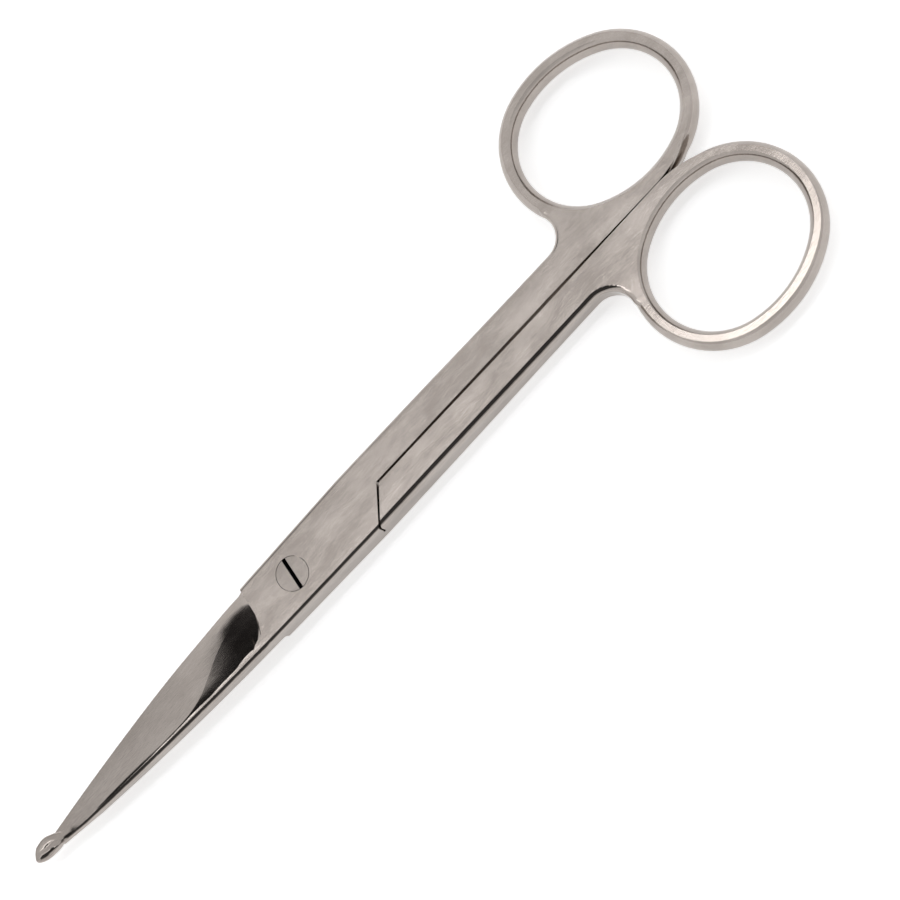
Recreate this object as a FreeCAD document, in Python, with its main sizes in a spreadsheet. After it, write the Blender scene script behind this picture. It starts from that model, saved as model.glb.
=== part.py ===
# Dressing scissors with a probe tip, closed, in millimetres.
# +X runs from the pivot to the tips, +Z up, and the origin is under the pivot screw.
# Each half is drawn as the upper one, which has its finger ring at -Y and its blade above the
# joint plane. The lower half is turned over about the X axis when it is placed.
import FreeCAD, Part
import Sketcher
import os
import re

doc = FreeCAD.newDocument("dressing_scissors")
Vector = FreeCAD.Vector

SIZES = {
    # joint
    "lap_thickness": 4.6,
    "shoulder_reach": 17.5,
    "shoulder_run": 4.4,
    "shoulder_gap": 0.35,
    "shoulder_half_width": 4.93,
    "lap_clearance": 0.02,
    "parting_gap": 0.36,
    # shanks
    "crotch_reach": 56.3,
    "crotch_half_width": 4.68,
    "crotch_gap": 0.48,
    "crotch_radius": 3.5,
    "crotch_turn": 107.0,
    "crotch_run": 4.0,
    "edge_round": 0.8,
    "spine_round": 0.6,
    "cut_past": 2.0,
    # finger rings
    "ring_reach": 73.7,
    "ring_tilt": 7.7,
    "ring_half_width": 11.45,
    "ring_side_radius": 17.5,
    "ring_near_radius": 11.0,
    "ring_far_radius": 10.8,
    "ring_height": 3.8,
    "ring_width": 2.65,
    "ring_flat": 0.9,
    "ring_gap": 0.08,
    "web_overlap": 0.3,
    "web_bow_reach": 4.6,
    "web_bow_offset": 0.8,
    "web_far_reach": 9.4,
    "web_far_offset": 3.3,
    # blades
    "heel_reach": 7.4,
    "heel_edge_offset": 4.5,
    "heel_spine_offset": 4.77,
    "edge_belly": 0.56,
    "spine_belly": 0.51,
    "neck_reach": 51.4,
    "neck_edge_offset": 0.28,
    "neck_spine_offset": 2.12,
    "neck_thickness": 0.8,
    "grind_past": 0.05,
    "grind_aside": 1.0,
    "grind_up": 0.015,
    "heel_lean": 32.0,
    "heel_foot": 10.4,
    "plain_blade_reach": 50.0,
    "plain_tip_offset": 0.3,
    "plain_tip_inset": 0.9,
    "blade_inset": 0.15,
    # probe tip
    "bead_length": 6.0,
    "bead_overhang": 4.9,
    "bead_width": 2.5,
    "bead_height": 2.1,
    "bead_inset": 0.2,
    "bead_drop": 0.1,
    # pivot screw
    "head_diameter": 4.9,
    "head_thickness": 1.1,
    "head_clearance": 0.08,
    "end_chamfer": 0.1,
    "slot_width": 0.6,
    "slot_depth": 0.8,
    "slot_turn": 81.0,
    "pin_diameter": 3.4,
    "pin_clearance": 0.05,
    "thread_clearance": 0.02,
}

# Stations of the ground face: share of the blade's length, edge thickness, where the hollow turns into the
# bevel across the face, the share of the height reached there, the ridge's inset from the spine, and the sag.
GRINDING = {
    "Heel": (0.02, 0.30, 0.25, 0.19, 1.75, 0.03),
    "Root": (0.08, 0.33, 0.28, 0.216, 1.20, 0.03),
    "Run": (0.17, 0.38, 0.40, 0.341, 1.05, 0.026),
    "Blend": (0.31, 0.60, 0.80, 0.745, 0.92, 0.018),
    "Middle": (0.54, 0.62, 0.94, 0.90, 0.75, 0.012),
    "Fore": (0.79, 0.50, 0.92, 0.864, 0.60, 0.010),
    "Tip": (1.03, 0.35, 0.85, 0.78, 0.40, 0.004),
}
HEEL_SKEW = -0.3

# The rings stand apart by their gap, so how far out they lie follows from the tilted oval.
RING_OFFSET = ("(ring_side_radius - (ring_side_radius - ring_half_width) * cos(ring_tilt)"
               " + (ring_width + ring_gap) / 2)")

sheet = doc.addObject("Spreadsheet::Sheet", "Sizes")
for row, (alias, number) in enumerate(SIZES.items(), start=1):
    sheet.set("A%d" % row, alias)
    sheet.set("B%d" % row, str(number))
    sheet.setAlias("B%d" % row, alias)
doc.recompute()


def size(expression):
    """The value of an expression in the sheet's names."""
    found = sheet.evalExpression(expression)
    return float(getattr(found, "Value", found))


def bound(expression):
    """The same expression as other objects write it, with each name taken from the sheet."""
    return re.sub("[a-z_]+", lambda word: "Sizes." + word[0] if word[0] in SIZES else word[0], expression)


def draw_on(body, role, name, offset=None, axis=Vector(0, 0, 1)):
    """An empty sketch on one of the body's own origin planes, moved and turned in that plane's frame."""
    plane = next(item for item in body.Origin.OriginFeatures if item.Role == role)
    sketch = body.newObject("Sketcher::SketchObject", name)
    sketch.AttachmentSupport = (plane, [""])
    sketch.MapMode = "FlatFace"
    sketch.AttachmentOffset = FreeCAD.Placement(Vector(), FreeCAD.Rotation(axis, 1))
    sketch.setExpression("AttachmentOffset.Rotation.Angle", bound((offset or {}).pop("Rotation.Angle", "0")))
    for path, expression in (offset or {}).items():
        sketch.setExpression("AttachmentOffset." + path, bound(expression))
    doc.recompute()
    return sketch


def fix_point(sketch, curve, end, place):
    """Ties one end of a curve to a place given as two expressions."""
    for kind, expression in zip(("DistanceX", "DistanceY"), place):
        index = sketch.addConstraint(Sketcher.Constraint(kind, -1, 1, curve, end, size(expression)))
        sketch.setExpression("Constraints[%d]" % index, bound(expression))


def trace(sketch, outline):
    """Draws a closed outline. A step is a place, or a place on an arc and the arc's last place."""
    here = outline[-1][-2:]
    for step in outline:
        through, there = step[:-2], step[-2:]
        start = Vector(size(here[0]), size(here[1]), 0)
        finish = Vector(size(there[0]), size(there[1]), 0)
        if through:
            middle = Vector(size(through[0]), size(through[1]), 0)
            curve = sketch.addGeometry(Part.Arc(start, middle, finish), False)
            mark = sketch.addGeometry(Part.Point(middle), True)
            fix_point(sketch, mark, 1, through)
            sketch.addConstraint(Sketcher.Constraint("PointOnObject", mark, 1, curve))
        else:
            curve = sketch.addGeometry(Part.LineSegment(start, finish), False)
        first = 1 if sketch.getPoint(curve, 1).distanceToPoint(start) < 1e-6 else 2
        fix_point(sketch, curve, first, here)
        fix_point(sketch, curve, 3 - first, there)
        here = there


def along(blade, part):
    """How far along the blade a share of its length lies."""
    return "(heel_reach + (%s - heel_reach) * %s)" % (blade["reach"], part)


def offset_along(blade, side, part):
    """How far the blade's edge or spine stands off the middle line there."""
    heel, tip, belly = blade[side]
    return "(%s + (%s - %s) * %s + 4 * %s * %s * (1 - %s))" % (heel, tip, heel, part, belly, part, part)


def top_along(blade, part):
    """The height of the blade's back there, which thins towards the tip."""
    return "(lap_thickness - (lap_thickness / 2 - %s) * %s * %s)" % (blade["thickness"], part, part)


def planform(body, blade):
    """The half seen from above: shank, lap and blade, with a web that reaches into the ring."""
    sketch = draw_on(body, "XY_Plane", "Planform" + body.Name)
    trace(sketch, [
        ("-shoulder_reach", "-parting_gap / 2"),
        ("shoulder_run - shoulder_reach", "shoulder_half_width"),
        ("heel_reach", blade["spine"][0]),
        (along(blade, 0.5), offset_along(blade, "spine", 0.5), blade["reach"], blade["spine"][1]),
        (blade["reach"], "-" + blade["edge"][1]),
        (along(blade, 0.5), "-" + offset_along(blade, "edge", 0.5), "heel_reach", "-" + blade["edge"][0]),
        ("shoulder_run - shoulder_reach", "-shoulder_half_width"),
        ("-crotch_reach", "-crotch_half_width"),
        ("-crotch_reach - crotch_radius * sin(crotch_turn / 2)",
         "-crotch_half_width - crotch_radius * (1 - cos(crotch_turn / 2))",
         "-crotch_reach - crotch_radius * sin(crotch_turn)",
         "-crotch_half_width - crotch_radius * (1 - cos(crotch_turn))"),
        ("-crotch_reach - crotch_radius - web_overlap", "-" + RING_OFFSET),
        ("-ring_reach", "-" + RING_OFFSET),
        ("-ring_reach - web_far_reach", "-web_far_offset"),
        ("-ring_reach - web_bow_reach", "-web_bow_offset", "-ring_reach", "-ring_gap / 2"),
        ("crotch_run - crotch_reach", "-crotch_gap / 2"),
    ])
    return sketch


def feature(body, kind, name, profile=None, numbers=None, **settings):
    """A feature of the body, with its numbers bound to the sheet, made and checked."""
    made = body.newObject("PartDesign::" + kind, name + body.Name)
    if profile is not None:
        made.Profile = profile
    for key, setting in settings.items():
        setattr(made, key, setting)
    for key, expression in (numbers or {}).items():
        made.setExpression(key, bound(expression))
    doc.recompute()
    return made


def thin_shank(body):
    """Thins the shank above and below, from the shoulder to the crotch."""
    drop = "(lap_thickness - ring_height) / 2"
    shank_middle = "-(shoulder_reach + crotch_reach) / 2"
    for name, level, out in (("Above", "lap_thickness - ", "lap_thickness + cut_past"), ("Below", "", "-cut_past")):
        sketch = draw_on(body, "XZ_Plane", name + "Shank" + body.Name)
        trace(sketch, [
            ("-shoulder_reach", level + "0"),
            ("-(3 * shoulder_reach + crotch_reach) / 4", level + drop + " / 8", shank_middle, level + drop + " / 2"),
            ("-(shoulder_reach + 3 * crotch_reach) / 4", level + drop + " * 7 / 8", "-crotch_reach", level + drop),
            ("-ring_reach - 2 * ring_half_width", level + drop),
            ("-ring_reach - 2 * ring_half_width", out),
            ("-shoulder_reach", out),
        ])
        thinned = feature(body, "Pocket", name + "ShankCut", sketch, Type=1, Midplane=True)
    return thinned


def thin_blade(body, blade):
    """Thins the blade's back towards the tip."""
    sketch = draw_on(body, "XZ_Plane", "Distal" + body.Name)
    trace(sketch, [
        ("heel_reach", "lap_thickness"),
        (along(blade, 0.5), top_along(blade, 0.5), blade["reach"], top_along(blade, 1)),
        (blade["reach"] + " + cut_past", top_along(blade, 1)),
        (blade["reach"] + " + cut_past", "lap_thickness + cut_past"),
        ("heel_reach", "lap_thickness + cut_past"),
    ])
    return feature(body, "Pocket", "DistalCut", sketch, Type=1, Midplane=True)


def wall_edges(shape, side):
    """The long edges of the outer wall on one side: above as far as the blade, below as far as the lap."""
    names = []
    for number, edge in enumerate(shape.Edges, start=1):
        box = edge.BoundBox
        middle = edge.valueAt((edge.FirstParameter + edge.LastParameter) / 2)
        across = box.XLength < 0.05 or box.ZLength > box.XLength
        shoulder = middle.x < size("shoulder_run - shoulder_reach")
        inside = abs(middle.y) < 1 or middle.y < 0.1 - size(RING_OFFSET) or middle.x < -size("ring_reach")
        if across or inside or middle.y * side < 0 or (shoulder and middle.y > 0):
            continue
        above = middle.z > size("lap_thickness / 2")
        if (above and (middle.x < size("heel_reach") or middle.y > 0)) or (not above and shoulder):
            names.append("Edge%d" % number)
    return names


def lap_cut(body):
    """The half of the thickness that the other half's lap and blade take, up to the oblique shoulder."""
    sketch = draw_on(body, "XY_Plane", "Lap" + body.Name)
    slant = "shoulder_run / shoulder_half_width"
    face = "-shoulder_reach - shoulder_gap"
    aside = "2 * shoulder_half_width"
    trace(sketch, [
        (face + " - cut_past * " + slant, "cut_past"),
        (face + " + " + aside + " * " + slant, "-" + aside),
        ("neck_reach + " + aside, "-" + aside),
        ("neck_reach + " + aside, aside),
        (face + " - cut_past * " + slant, aside),
    ])
    return feature(body, "Pocket", "LapCut", sketch, {"Length": "(lap_thickness + lap_clearance) / 2"}, Reversed=True)


def oval(body, name):
    """The middle line of the ring's bar: four tangent arcs, wider towards the shank."""
    sketch = draw_on(body, "XY_Plane", name + body.Name, {
        "Base.x": "-ring_reach", "Base.y": "-" + RING_OFFSET, "Base.z": "lap_thickness / 2",
        "Rotation.Angle": "180 - ring_tilt"})
    drop = "(ring_side_radius - ring_half_width)"
    far = "sqrt((ring_side_radius - ring_far_radius)^2 - %s^2)" % drop
    near = "sqrt((ring_side_radius - ring_near_radius)^2 - %s^2)" % drop
    far_joint = (far + " * ring_side_radius / (ring_side_radius - ring_far_radius)",
                 drop + " * ring_side_radius / (ring_side_radius - ring_far_radius) - " + drop)
    near_joint = ("-" + near + " * ring_side_radius / (ring_side_radius - ring_near_radius)",
                  drop + " * ring_side_radius / (ring_side_radius - ring_near_radius) - " + drop)
    trace(sketch, [
        (far + " + ring_far_radius", "0", far_joint[0], far_joint[1]),
        ("0", "ring_half_width", near_joint[0], near_joint[1]),
        ("-" + near + " - ring_near_radius", "0", near_joint[0], "-(" + near_joint[1] + ")"),
        ("0", "-ring_half_width", far_joint[0], "-(" + far_joint[1] + ")"),
    ])
    return sketch, far


def finger_ring(body):
    """Opens the web inside the ring and runs the ring's bar round the oval."""
    opening, far = oval(body, "Opening")
    feature(body, "Pocket", "OpeningCut", opening, Type=1, Midplane=True)
    line, far = oval(body, "RingLine")
    bar = draw_on(body, "XZ_Plane", "Bar" + body.Name, {
        "Base.x": "-ring_reach", "Base.y": "lap_thickness / 2", "Base.z": RING_OFFSET,
        "Rotation.Angle": "180 - ring_tilt"}, Vector(0, 1, 0))
    reach = "(" + far + " + ring_far_radius)"
    trace(bar, [
        (reach + " - ring_flat / 2", "ring_height / 2"),
        (reach + " - ring_width / 2", "0", reach + " - ring_flat / 2", "-ring_height / 2"),
        (reach + " + ring_flat / 2", "-ring_height / 2"),
        (reach + " + ring_width / 2", "0", reach + " + ring_flat / 2", "ring_height / 2"),
    ])
    return feature(body, "AdditivePipe", "Ring", bar, Spine=(line, ["Edge1", "Edge2", "Edge3", "Edge4"]))


def ground_station(body, name, plane, blade, part, numbers):
    """One cross-section of what grinding takes off: a hollow near the edge, then a bevel up to the ridge."""
    edge, knee, knee_rise, inset, sag = numbers
    sketch = draw_on(body, "YZ_Plane", name + body.Name, plane, Vector(1, HEEL_SKEW, 0))
    lean = " / cos(heel_lean)" if "Rotation.Angle" in plane else ""
    foot = "-(%s)" % offset_along(blade, "edge", part)
    ridge = "(%s - %s + grind_past)" % (offset_along(blade, "spine", part), inset)
    low = "(lap_thickness / 2 + %s)" % edge
    high = "(%s + grind_up)" % top_along(blade, part)
    middle = "(%s + (%s - %s) * %s)" % (foot, ridge, foot, knee)
    turn = "(%s + (%s - %s) * %s)" % (low, high, low, knee_rise)
    trace(sketch, [
        ("(%s + %s) / 2" % (foot, middle), "((%s + %s) / 2 - %s)%s" % (low, turn, sag, lean), middle, turn + lean),
        ("(%s + %s) / 2" % (middle, ridge), "((%s + %s) / 2 - %s)%s" % (turn, high, sag, lean), ridge, high + lean),
        (ridge, "lap_thickness + cut_past"),
        (foot + " - grind_aside", "lap_thickness + cut_past"),
        (foot + " - grind_aside", low + lean),
        (foot, low + lean),
    ])
    return sketch


def hollow_grind(body, blade):
    """The outer face of the blade, from a leaning wall at the heel out to the tip."""
    stations = []
    for name, (share, *numbers) in GRINDING.items():
        part = str(share)
        plane = {"Base.z": along(blade, part)}
        if not stations:
            plane = {"Base.z": "heel_foot", "Rotation.Angle": "-heel_lean"}
        stations.append(ground_station(body, name, plane, blade, part, numbers))
    return feature(body, "SubtractiveLoft", "Hollow", stations[0], Sections=stations[1:])


def round_hole(body, name, diameter, floor):
    """A hole about the pivot axis, from the top face down to the given height."""
    sketch = draw_on(body, "XY_Plane", name + body.Name, {"Base.z": "lap_thickness"})
    circle = sketch.addGeometry(Part.Circle(Vector(), Vector(0, 0, 1), size(diameter) / 2), False)
    sketch.addConstraint(Sketcher.Constraint("Coincident", circle, 3, -1, 1))
    index = sketch.addConstraint(Sketcher.Constraint("Diameter", circle, size(diameter)))
    sketch.setExpression("Constraints[%d]" % index, bound(diameter))
    return feature(body, "Pocket", name + "Cut", sketch, {"Length": "lap_thickness - (%s)" % floor})


def half(name, blade):
    """One half of the scissors up to its ring and its ground blade."""
    body = doc.addObject("PartDesign::Body", name)
    feature(body, "Pad", "Blank", planform(body, blade), {"Length": "lap_thickness"})
    blank = thin_shank(body)
    edges = wall_edges(blank.Shape, -1)
    feature(body, "Fillet", "RoundedShank", None, {"Radius": "edge_round"}, Base=(blank, edges))
    blank = thin_blade(body, blade)
    edges = wall_edges(blank.Shape, 1)
    feature(body, "Fillet", "RoundedSpine", None, {"Radius": "spine_round"}, Base=(blank, edges))
    lap_cut(body)
    finger_ring(body)
    hollow_grind(body, blade)
    return body


def probe_blade_half():
    """The upper half, with the bead at its tip and the screw head let into it."""
    body = half("Probe", {
        "reach": "neck_reach", "thickness": "neck_thickness",
        "spine": ("heel_spine_offset", "neck_spine_offset", "spine_belly"),
        "edge": ("heel_edge_offset", "neck_edge_offset", "edge_belly")})
    plane = next(item for item in body.Origin.OriginFeatures if item.Role == "XY_Plane")
    feature(body, "AdditiveEllipsoid", "Bead", None, {
        "Radius1": "bead_height / 2", "Radius2": "bead_length / 2", "Radius3": "bead_width / 2",
        "AttachmentOffset.Base.x": "neck_reach + bead_overhang - bead_length / 2",
        "AttachmentOffset.Base.y": "neck_spine_offset - bead_width / 2 - bead_inset",
        "AttachmentOffset.Base.z": "lap_thickness / 2 + neck_thickness / 2 - bead_drop"},
        AttachmentSupport=(plane, [""]), MapMode="FlatFace")
    round_hole(body, "PinHole", "pin_diameter + 2 * pin_clearance", "0")
    round_hole(body, "HeadHole", "head_diameter + 2 * head_clearance", "lap_thickness - head_thickness - head_clearance")
    return body


def plain_blade_half():
    """The lower half, whose narrower blade hides under the other, with the screw threaded into it."""
    body = half("Plain", {
        "reach": "plain_blade_reach", "thickness": "neck_thickness",
        "spine": ("(heel_edge_offset - blade_inset)", "(plain_tip_offset)", "edge_belly"),
        "edge": ("(heel_spine_offset - blade_inset)", "(neck_spine_offset - plain_tip_inset)", "spine_belly")})
    round_hole(body, "ThreadHole", "pin_diameter + 2 * thread_clearance", "0")
    turn = FreeCAD.Rotation(Vector(1, 0, 0), 180)
    body.Placement = FreeCAD.Placement(Vector(0, 0, size("lap_thickness")), turn)
    body.setExpression("Placement.Base.z", bound("lap_thickness"))
    return body


def pivot_screw():
    """The slotted screw: a flat head flush with the upper half, its end flush with the lower."""
    body = doc.addObject("PartDesign::Body", "Screw")
    profile = draw_on(body, "XZ_Plane", "ScrewProfile")
    trace(profile, [
        ("0", "0"),
        ("pin_diameter / 2 - end_chamfer", "0"),
        ("pin_diameter / 2", "end_chamfer"),
        ("pin_diameter / 2", "lap_thickness - head_thickness"),
        ("head_diameter / 2", "lap_thickness - head_thickness"),
        ("head_diameter / 2", "lap_thickness"),
        ("0", "lap_thickness"),
    ])
    feature(body, "Revolution", "Turned", profile, ReferenceAxis=(profile, ["V_Axis"]))
    slot = draw_on(body, "XY_Plane", "Slot", {"Base.z": "lap_thickness", "Rotation.Angle": "slot_turn"})
    trace(slot, [
        ("head_diameter", "-slot_width / 2"),
        ("head_diameter", "slot_width / 2"),
        ("-head_diameter", "slot_width / 2"),
        ("-head_diameter", "-slot_width / 2"),
    ])
    feature(body, "Pocket", "SlotCut", slot, {"Length": "slot_depth"})
    return body


SUBPARTS = {
    "probe_blade_half": probe_blade_half(),
    "plain_blade_half": plain_blade_half(),
    "pivot_screw": pivot_screw(),
}
doc.recompute()
for item in doc.Objects:
    if {"Invalid", "Error"} & set(item.State):
        raise SystemExit("%s did not compute" % item.Label)
os.makedirs("parts", exist_ok=True)
for label, body in SUBPARTS.items():
    body.Label = label
    if body.Shape.isNull() or not body.Shape.isValid():
        raise SystemExit("%s has no valid shape" % label)
    body.Shape.exportStep("parts/%s.step" % label)
    print(label, round(body.Shape.Volume, 1), "mm3", len(body.Shape.Solids), "solid")
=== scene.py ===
"""Dressing scissors with a probe tip: satin steel, plain pale floor, soft studio light."""
import math
import bpy
from mathutils import Matrix, Vector


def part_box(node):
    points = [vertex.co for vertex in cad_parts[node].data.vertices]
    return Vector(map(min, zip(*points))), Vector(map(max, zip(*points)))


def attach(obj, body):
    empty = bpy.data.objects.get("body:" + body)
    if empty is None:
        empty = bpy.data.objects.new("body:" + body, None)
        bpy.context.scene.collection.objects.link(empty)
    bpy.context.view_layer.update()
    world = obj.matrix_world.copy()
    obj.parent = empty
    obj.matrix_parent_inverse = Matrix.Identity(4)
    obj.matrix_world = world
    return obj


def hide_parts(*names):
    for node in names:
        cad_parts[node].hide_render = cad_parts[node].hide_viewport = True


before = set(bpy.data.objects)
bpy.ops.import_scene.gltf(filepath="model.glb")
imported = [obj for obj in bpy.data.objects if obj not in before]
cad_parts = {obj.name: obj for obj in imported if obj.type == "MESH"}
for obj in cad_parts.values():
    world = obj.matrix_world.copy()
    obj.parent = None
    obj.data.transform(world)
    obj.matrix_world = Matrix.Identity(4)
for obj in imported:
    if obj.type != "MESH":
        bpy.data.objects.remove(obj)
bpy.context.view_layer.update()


# Small helpers for node materials

def new_material(name):
    """An empty node material with its output."""
    material = bpy.data.materials.new(name)
    material.use_nodes = True
    nodes = material.node_tree.nodes
    nodes.clear()
    return material, nodes, material.node_tree.links, nodes.new("ShaderNodeOutputMaterial")


def node(nodes, links, kind, settings=None, **inputs):
    """A node with its settings and its inputs, each a number, a colour or another node's output."""
    made = nodes.new("ShaderNode" + kind)
    for key, setting in (settings or {}).items():
        setattr(made, key, setting)
    for key, source in inputs.items():
        numbered = key[0] == "i" and key[1:].isdigit()
        socket = made.inputs[int(key[1:]) if numbered else key.replace("_", " ")]
        if isinstance(source, bpy.types.NodeSocket):
            links.new(source, socket)
        else:
            socket.default_value = source
    return made


def ramp(nodes, links, value, none, full):
    """0 up to one value and 1 from another, smooth between; the second may be the smaller."""
    low, high, rise = (none, full, (0.0, 1.0)) if none < full else (full, none, (1.0, 0.0))
    return node(nodes, links, "MapRange", {"interpolation_type": "SMOOTHSTEP"}, Value=value,
                i1=low, i2=high, i3=rise[0], i4=rise[1]).outputs["Result"]


def math_of(nodes, links, operation, first, second):
    """The result of an operation on two numbers or outputs."""
    return node(nodes, links, "Math", {"operation": operation}, i0=first, i1=second).outputs["Value"]


def noise(nodes, links, place, scale, detail, roughness):
    """A noise pattern stretched by a scale along each axis, in cells per metre."""
    stretched = node(nodes, links, "Mapping", Vector=place, Scale=scale).outputs["Vector"]
    return node(nodes, links, "TexNoise", Vector=stretched, Scale=1.0, Detail=detail,
                Roughness=roughness).outputs["Fac"]


# Steel. Pattern scales in cells per metre along X, Y and Z, depths in metres.

MOTTLE_CELLS = (110.0, 260.0, 260.0)
GRAIN_CELLS = (700.0, 9000.0, 9000.0)
MOTTLE_SHARE = 0.7
MOTTLE_RANGE = (0.3, 0.7)
SHADE_RANGE = (0.36, 0.66)
GRAIN_DEPTH = 0.00004
GRAIN_STRENGTH = 0.09
ROUGHNESS = (0.085, 0.14)
HALF_LIGHT = (0.435, 0.392, 0.362, 1.0)
HALF_DARK = (0.35, 0.312, 0.286, 1.0)
SCREW_LIGHT = (0.40, 0.36, 0.332, 1.0)
SCREW_DARK = (0.33, 0.296, 0.272, 1.0)
# Painted shade for the screw's slot: a near black colour, how far under the head's top it starts, and how far it
# fades.
SLOT_PAINTED_SHADE = (0.012, 0.011, 0.01, 1.0)
SLOT_SHADE_BELOW_TOP = 0.00008
SLOT_SHADE_FADE = 0.0001


def satin_steel(name, light, dark, shade_height=None):
    """Fine satin steel: brushed along the object, mottled, with a soft spread of highlights.

    Below the shade height, in metres, the slot is painted near black and made fully rough: painted shade in the
    recess.
    """
    material, nodes, links, output = new_material(name)
    place = node(nodes, links, "TexCoord").outputs["Object"]
    mottle = noise(nodes, links, place, MOTTLE_CELLS, detail=6.0, roughness=0.62)
    grain = noise(nodes, links, place, GRAIN_CELLS, detail=3.0, roughness=0.6)
    shade = math_of(nodes, links, "ADD", math_of(nodes, links, "MULTIPLY", mottle, MOTTLE_SHARE),
                    math_of(nodes, links, "MULTIPLY", grain, 1.0 - MOTTLE_SHARE))
    tone = ramp(nodes, links, shade, *SHADE_RANGE)
    colour = node(nodes, links, "Mix", {"data_type": "RGBA"}, i0=tone, i6=dark, i7=light).outputs[2]
    rough = node(nodes, links, "MapRange", Value=mottle, i1=MOTTLE_RANGE[0], i2=MOTTLE_RANGE[1],
                 i3=ROUGHNESS[0], i4=ROUGHNESS[1]).outputs["Result"]
    if shade_height is not None:
        # Painted shade: below this height the slot's colour goes near black and its roughness goes to full.
        height = node(nodes, links, "SeparateXYZ", Vector=place).outputs["Z"]
        slot_shade = ramp(nodes, links, height, shade_height, shade_height - SLOT_SHADE_FADE)
        colour = node(nodes, links, "Mix", {"data_type": "RGBA"}, i0=slot_shade, i6=colour,
                      i7=SLOT_PAINTED_SHADE).outputs[2]
        rough = math_of(nodes, links, "MAXIMUM", rough, slot_shade)
    bump = node(nodes, links, "Bump", Strength=GRAIN_STRENGTH, Distance=GRAIN_DEPTH, Height=grain)
    shader = node(nodes, links, "BsdfPrincipled", Metallic=1.0, Base_Color=colour, Roughness=rough,
                  Normal=bump.outputs["Normal"])
    links.new(shader.outputs["BSDF"], output.inputs["Surface"])
    return material


steel = satin_steel("satin_steel", HALF_LIGHT, HALF_DARK)
screw_steel = satin_steel("screw_steel", SCREW_LIGHT, SCREW_DARK,
                          shade_height=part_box("pivot_screw")[1][2] - SLOT_SHADE_BELOW_TOP)


# The halves with the grinder's finish: the heel of the blade set aslant and rounded into the spine, the probe tip
# drawn out of the blade. Lengths in millimetres, in a half's own axes: blade along +X, spine +Y, outer face up.

MILLIMETRES = 1000.0
THICKNESS = round(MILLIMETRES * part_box("probe_blade_half")[1][2], 3)
SMALL_STEP = 0.004

HEEL_ALONG = (3.4, 6.6, 8.6, 12.2)
HEEL_UP = (2.32, 2.5)
HEEL_PLACE = 0.145
HEEL_SLANT = 0.34
HEEL_BOW = 0.12
SPINE_ACROSS = (2.6, 4.2)
SPINE_EASE = 0.7

BULB_ALONG = (51.0, 53.2, 54.8, 56.4)
BULB_SHIFTS = (0.30, 0.35)
NECK_ALONG = (50.2, 51.6, 52.8, 54.5)
NECK_ACROSS = (0.9, 1.5, 1.6, 1.95)
NECK_SHIFT = 0.16
END_ALONG = (46.0, 51.4, 51.5, 52.0)
END_SHIFT = 0.2

FACE_START = 7.6
FACE_FLOOR = 2.5
FACE_TILTS = (0.75, 0.985)
HEEL_NORMAL = Vector((0.03, -0.27, 0.962))
FACE_NORMAL = Vector((0.021, -0.202, 0.979))
HEEL_FADE = (11.5, 15.0)
TIP_FADE = (24.0, 30.0)
LAND_START = 3.75
RIDGE_STRIP = 0.12
RIDGE = ((8.0, 3.0), (10.2, 3.47), (20.0, 3.51), (32.6, 3.06), (39.9, 2.61), (47.4, 2.01), (60.0, 0.9))


def smooth(value, low, high):
    """0 up to the low value, 1 from the high one, smooth between."""
    share = min(max((value - low) / (high - low), 0.0), 1.0)
    return share * share * (3.0 - 2.0 * share)


def window(value, rise_from, rise_to, fall_from, fall_to):
    """Rises from 0 to 1, stays, and falls back to 0."""
    return smooth(value, rise_from, rise_to) * (1.0 - smooth(value, fall_from, fall_to))


def heel_shift(x, y, z):
    """How far a point near the heel moves along the blade: towards the tip at the spine, back at the edge."""
    near = window(x, *HEEL_ALONG) * smooth(z, *HEEL_UP)
    aslant = HEEL_PLACE + HEEL_SLANT * y + HEEL_BOW * max(y, 0.0) ** 2
    eased = 1.0 - SPINE_EASE * smooth(y, *SPINE_ACROSS)
    foot = smooth(-y, -1.0, 3.0) * (1.0 - smooth(z, 2.6, THICKNESS))
    return near * (aslant * eased - foot)


def tip_shift(x, y, z):
    """How far a point near the bead moves across: the bulb towards the edge, the neck to meet the blade's spine."""
    side, top = BULB_SHIFTS
    bulb = window(x, *BULB_ALONG) * (side * smooth(-y, -1.9, 0.6) + top * smooth(z, 2.6, 3.65))
    neck = NECK_SHIFT * window(x, *NECK_ALONG) * window(y, *NECK_ACROSS)
    blade_end = END_SHIFT * window(x, *END_ALONG) * smooth(y, 1.4, 2.1)
    return neck - bulb - blade_end


def finished(place, with_tip):
    """Where a point of the half goes."""
    x, y, z = place
    return Vector((x + heel_shift(x, y, z), y + (tip_shift(x, y, z) if with_tip else 0.0), z))


def ridge_at(x):
    """How far towards the spine the ground face reaches."""
    for (x0, y0), (x1, y1) in zip(RIDGE, RIDGE[1:]):
        if x <= x1:
            return y0 + (y1 - y0) * (x - x0) / (x1 - x0)
    return RIDGE[-1][1]


def finished_normal(place, normal):
    """The shading of the ground face, evened out: one tilt beside the heel's wall, another towards the tip."""
    x, y, z = place
    if x < FACE_START or z < FACE_FLOOR or not FACE_TILTS[0] < normal.z < FACE_TILTS[1]:
        return normal
    if x < HEEL_FADE[1] and y < LAND_START:
        share = (1.0 - smooth(x, *HEEL_FADE)) * smooth(y, -3.8, -1.6)
        return normal.lerp(HEEL_NORMAL, share).normalized()
    if x > TIP_FADE[0] and y < ridge_at(x) - RIDGE_STRIP:
        return normal.lerp(FACE_NORMAL, smooth(x, *TIP_FADE)).normalized()
    return normal


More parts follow.
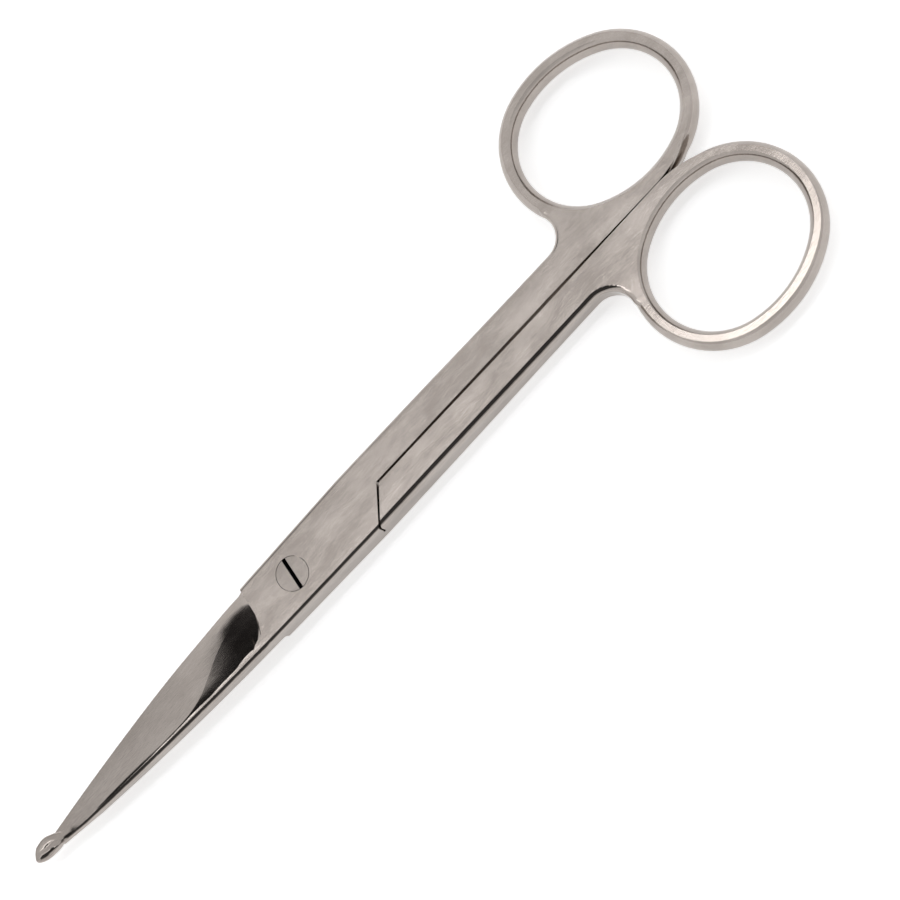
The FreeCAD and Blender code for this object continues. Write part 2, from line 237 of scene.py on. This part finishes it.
def dressed(name, piece_name, body, turned, with_tip):
    """A copy of a half, its points and its shading moved by the finish."""
    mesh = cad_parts[name].data.copy()
    mesh.name = piece_name
    piece = bpy.data.objects.new(piece_name, mesh)
    bpy.context.collection.objects.link(piece)
    sign = Vector((1.0, -1.0, -1.0)) if turned else Vector((1.0, 1.0, 1.0))

    def swap(place):
        return Vector((place[0], -place[1], THICKNESS - place[2])) if turned else Vector(place)

    def moved(place):
        return swap(finished(swap(place), with_tip))

    places = [vertex.co * MILLIMETRES for vertex in mesh.vertices]
    normals = [Vector(corner.vector) for corner in mesh.corner_normals]
    turns = []
    for place in places:
        columns = [(moved(place + axis) - moved(place - axis)) / (2.0 * SMALL_STEP)
                   for axis in Matrix.Scale(SMALL_STEP, 3)]
        turns.append(Matrix(columns).inverted_safe())
    for vertex, place in zip(mesh.vertices, places):
        vertex.co = moved(place) / MILLIMETRES
    mesh.update()
    shaded = []
    for loop, normal in zip(mesh.loops, normals):
        shown = (turns[loop.vertex_index] @ normal).normalized() * sign
        shaded.append(finished_normal(swap(places[loop.vertex_index]), shown) * sign)
    mesh.normals_split_custom_set(shaded)
    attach(piece, body)
    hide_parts(name)
    return piece


for name, piece_name, body, turned, with_tip in (
        ("probe_blade_half", "probe_blade_finished", "upper_half", False, True),
        ("plain_blade_half", "plain_blade_finished", "lower_half", True, False)):
    piece = dressed(name, piece_name, body, turned, with_tip)
    for slot in piece.material_slots:
        slot.material = steel
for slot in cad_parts["pivot_screw"].material_slots:
    slot.material = screw_steel


# Floor: pale and plain, seen as white

WHITE = (1.0, 1.0, 1.0, 1.0)
FLOOR_COLOUR = (0.9, 0.9, 0.9, 1.0)
FLOOR_GLOW = 0.6
FLOOR_SIZE = 6.0
FLOOR_DROP = 0.00003


def pale_floor():
    """A wide matt floor just under the object, with a little glow that only the eye and the steel see."""
    material, nodes, links, output = new_material("pale_floor")
    path = node(nodes, links, "LightPath").outputs
    seen = math_of(nodes, links, "MAXIMUM", path["Is Camera Ray"], path["Is Glossy Ray"])
    glow = node(nodes, links, "Emission", Color=WHITE,
                Strength=math_of(nodes, links, "MULTIPLY", seen, FLOOR_GLOW))
    matt = node(nodes, links, "BsdfDiffuse", Color=FLOOR_COLOUR)
    both = node(nodes, links, "AddShader", i0=matt.outputs["BSDF"], i1=glow.outputs["Emission"])
    links.new(both.outputs["Shader"], output.inputs["Surface"])
    bpy.ops.mesh.primitive_plane_add(size=FLOOR_SIZE, location=(0.0, 0.0, -FLOOR_DROP))
    floor = bpy.context.object
    floor.name = "floor"
    floor.data.materials.append(material)


pale_floor()


# Light: a pale surround with one dark round side, a dark card opposite, and a bright strip between them. Angles in
# degrees off straight up: the round side leans towards +Y, across is towards -Y, lengthwise is towards +X.

def slope(angle):
    """How far a direction leans sideways for each unit of height, from its angle off straight up."""
    return math.tan(math.radians(angle))


ROUND_MIDDLE = 31.0
ROUND_FULL = 42.0
ROUND_CLEAR = 52.0
ROUND_DEPTH = 0.93
ROUND_LOW_FROM = 54.0
ROUND_LOW_TO = 64.0
ROUND_LOW_DEPTH = 0.20
CARD_ACROSS = ((44.0, 50.5), (66.0, 61.0))
CARD_LENGTHWISE = ((12.0, 16.0), (52.0, 44.0))
CARD_DEPTH = 0.99
STRIP_ACROSS = ((13.5, 15.0), (18.5, 17.0))
STRIP_LENGTHWISE = ((-50.0, -40.0), (45.0, 35.0))
STRIP_LEVEL = 4.0
LEAST_HEIGHT = 0.05


def patch(nodes, links, across, lengthwise, across_edges, lengthwise_edges):
    """1 inside a four-sided patch of the surround, 0 outside; each side goes from one angle to the other."""
    inside = 1.0
    for value, edges in ((across, across_edges), (lengthwise, lengthwise_edges)):
        for none, full in edges:
            inside = math_of(nodes, links, "MULTIPLY", inside, ramp(nodes, links, value, slope(none), slope(full)))
    return inside


def darkened(nodes, links, level, where, depth):
    """The level brought down by a depth inside a patch."""
    loss = math_of(nodes, links, "MULTIPLY", where, depth)
    return math_of(nodes, links, "MULTIPLY", level, math_of(nodes, links, "SUBTRACT", 1.0, loss))


def studio():
    """The world: white to the camera, and patterned for what the steel mirrors."""
    world = bpy.data.worlds.new("studio")
    bpy.context.scene.world = world
    world.use_nodes = True
    nodes, links = world.node_tree.nodes, world.node_tree.links
    nodes.clear()
    place = node(nodes, links, "TexCoord").outputs["Generated"]
    middle = Vector((0.0, slope(ROUND_MIDDLE), 1.0)).normalized()
    facing = node(nodes, links, "VectorMath", {"operation": "DOT_PRODUCT"}, i0=place, i1=middle).outputs["Value"]
    round_side = ramp(nodes, links, facing, math.cos(math.radians(ROUND_CLEAR)), math.cos(math.radians(ROUND_FULL)))
    axes = node(nodes, links, "SeparateXYZ", Vector=place).outputs
    height = math_of(nodes, links, "MAXIMUM", axes["Z"], LEAST_HEIGHT)
    across = math_of(nodes, links, "MULTIPLY", math_of(nodes, links, "DIVIDE", axes["Y"], height), -1.0)
    lengthwise = math_of(nodes, links, "DIVIDE", axes["X"], height)
    low_part = ramp(nodes, links, across, slope(-ROUND_LOW_FROM), slope(-ROUND_LOW_TO))
    depth = math_of(nodes, links, "SUBTRACT", ROUND_DEPTH,
                    math_of(nodes, links, "MULTIPLY", low_part, ROUND_DEPTH - ROUND_LOW_DEPTH))
    level = darkened(nodes, links, 1.0, round_side, depth)
    card = patch(nodes, links, across, lengthwise, CARD_ACROSS, CARD_LENGTHWISE)
    level = darkened(nodes, links, level, card, CARD_DEPTH)
    strip = patch(nodes, links, across, lengthwise, STRIP_ACROSS, STRIP_LENGTHWISE)
    level = math_of(nodes, links, "ADD", level, math_of(nodes, links, "MULTIPLY", strip, STRIP_LEVEL))
    around = node(nodes, links, "Background", Color=WHITE, Strength=level)
    white = node(nodes, links, "Background", Color=WHITE, Strength=1.0)
    path = node(nodes, links, "LightPath").outputs
    mixed = node(nodes, links, "MixShader", i0=path["Is Camera Ray"], i1=around.outputs["Background"],
                 i2=white.outputs["Background"])
    links.new(mixed.outputs["Shader"], nodes.new("ShaderNodeOutputWorld").inputs["Surface"])


studio()

bpy.context.scene.view_settings.view_transform = "Standard"


# Camera at the photograph's angle

IMAGE_WIDTH = 900.0
FOCAL_PIXELS = 2279.4
SENSOR_WIDTH = 36.0

camera_data = bpy.data.cameras.new("camera")
camera_data.sensor_width = SENSOR_WIDTH
camera_data.lens = SENSOR_WIDTH * FOCAL_PIXELS / IMAGE_WIDTH
camera_data.clip_start = 0.01
camera = bpy.data.objects.new("camera", camera_data)
bpy.context.collection.objects.link(camera)
camera.location = (-0.06533, 0.11295, 0.29492)
camera.rotation_euler = (0.16678, 0.33861, 2.37225)
bpy.context.scene.camera = camera
